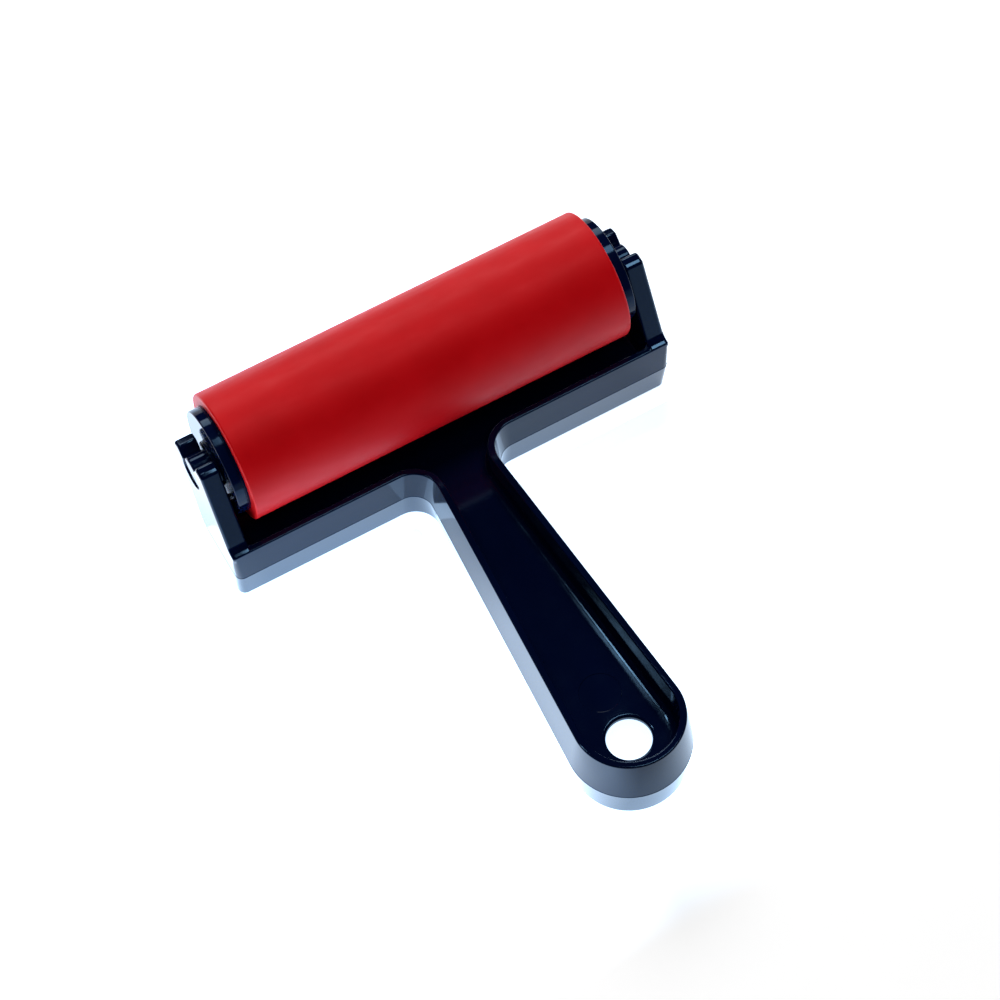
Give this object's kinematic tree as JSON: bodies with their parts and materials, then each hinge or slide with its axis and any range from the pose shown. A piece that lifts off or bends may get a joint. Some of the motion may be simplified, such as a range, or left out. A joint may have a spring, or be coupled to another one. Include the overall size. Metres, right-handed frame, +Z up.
{
  "type": "rubber brayer",
  "caption": "Ink roller for block printing: a rubber-covered roller snapped into the two arms of a flat, hollow, tee-shaped moulded frame with a hanging hole.",
  "frame": {"origin": "centre of the underside of the bounding box, the brayer lying on its back with the roller up", "axes": "+X along the roller's axis, -Y along the handle, +Z up away from the table"},
  "size_m": [0.1174, 0.1316, 0.0477],
  "materials": {
    "black_plastic": "satin moulded black",
    "red_rubber": "ground smooth, slightly dusty red",
    "core_plastic": "satin black",
    "plug_plastic": "satin black"
  },
  "bodies": {
    "frame": {"frame": "black_plastic"},
    "roller": {"rubber_sleeve": "red_rubber", "core_tube": "core_plastic", "left_end_plug": "plug_plastic", "right_end_plug": "plug_plastic"}
  },
  "joints": [
    {"name": "roller_spin", "type": "hinge", "parent": "frame", "child": "roller", "pos_m": [0, 0.04963, 0.0315], "axis": [1, 0, 0], "continuous": true}
  ]
}
